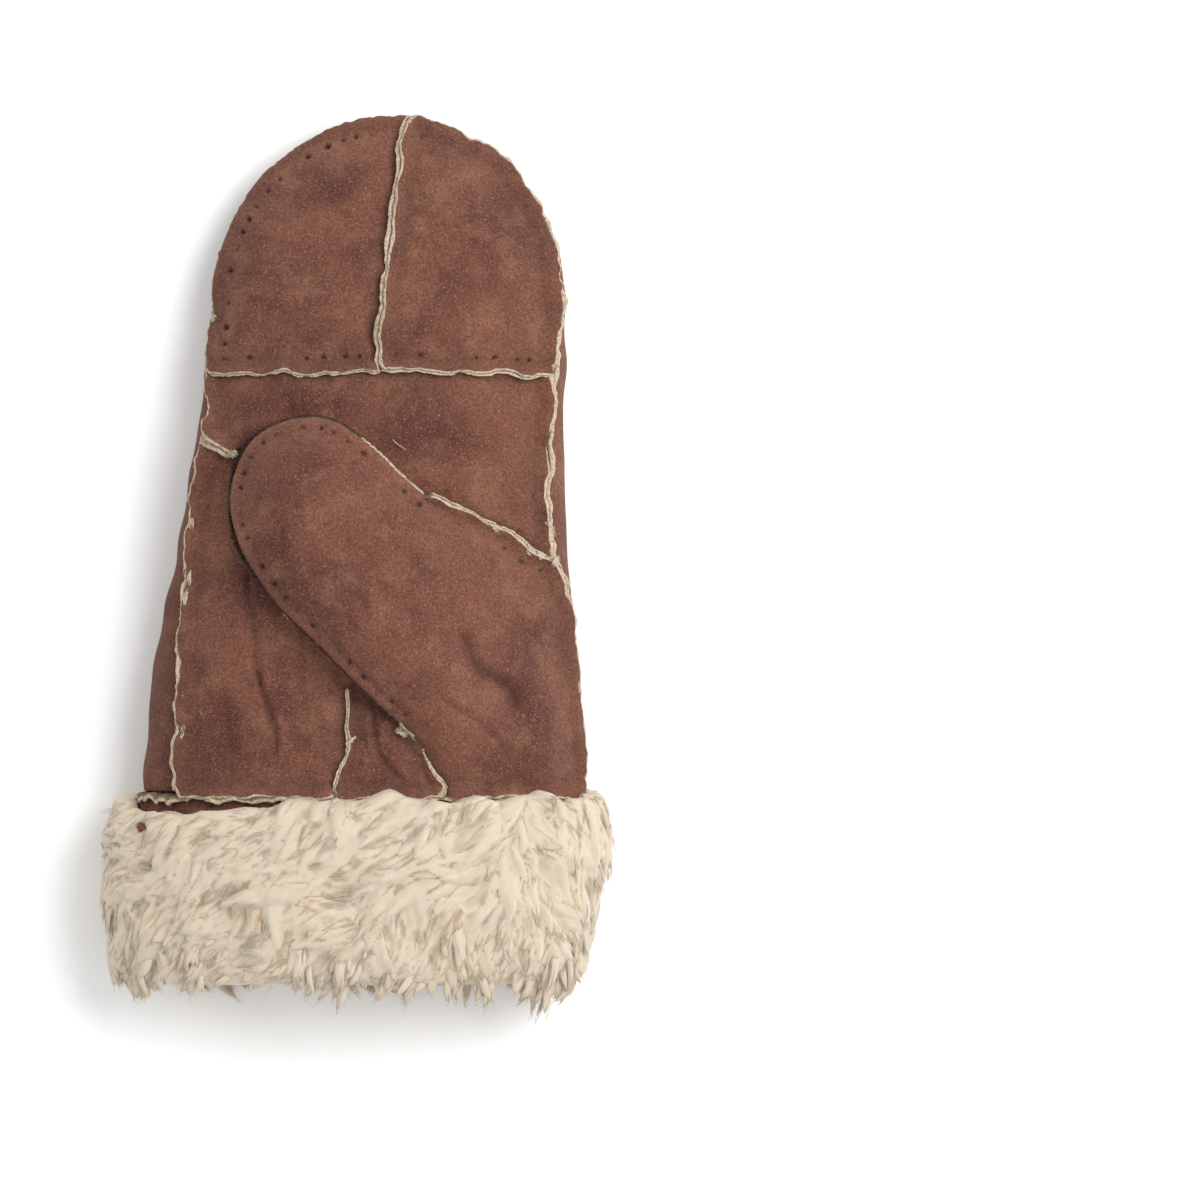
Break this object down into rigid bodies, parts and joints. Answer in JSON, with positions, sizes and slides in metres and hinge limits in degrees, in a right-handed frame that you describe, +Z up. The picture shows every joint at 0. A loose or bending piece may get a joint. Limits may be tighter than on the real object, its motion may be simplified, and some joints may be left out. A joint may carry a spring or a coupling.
{
  "type": "leather mitten",
  "caption": "Brown suede shearling mitten with patchwork seams, a thumb folded over the palm and a curly cream fleece cuff.",
  "frame": {"origin": "middle of the surface the mitten lies on, palm up", "axes": "+Y from the cuff to the fingertips, +Z up out of the palm, the thumb towards -X"},
  "size_m": [0.1726, 0.2852, 0.0651],
  "materials": {
    "suede": "napped suede, matt, with worn lighter edges",
    "fleece": "curly cream sheep's fleece"
  },
  "bodies": {
    "root": {"cap_left": "suede", "cap_right": "suede", "palm_upper": "suede", "palm_lower": "suede", "palm_wedge": "suede", "thumb_front": "suede", "thumb_back": "suede", "side_band_long": "suede", "side_band_short": "suede", "back_panel": "suede", "cuff_strip": "suede", "cuff_fleece": "fleece", "fleece_lining": "fleece"}
  },
  "joints": []
}
